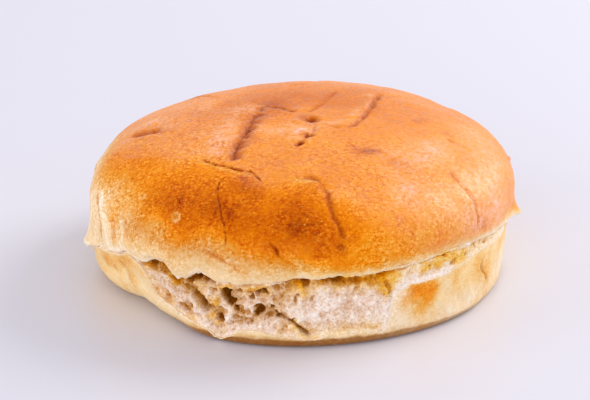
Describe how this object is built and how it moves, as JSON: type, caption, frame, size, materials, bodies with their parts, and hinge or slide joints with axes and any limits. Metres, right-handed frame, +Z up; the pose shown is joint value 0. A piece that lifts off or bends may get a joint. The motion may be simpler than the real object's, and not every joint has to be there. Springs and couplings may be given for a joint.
{
  "type": "teacake",
  "caption": "Round soft bread teacake with a browned domed top, a ragged lip, and one torn side that shows its crumb.",
  "frame": {"origin": "middle of the flat base, on the surface that it rests on", "axes": "+Z up through the crown, -Y towards the torn side"},
  "size_m": [0.1082, 0.107, 0.0406],
  "materials": {
    "crust": "satin"
  },
  "bodies": {
    "root": {"teacake": "crust"}
  },
  "joints": []
}
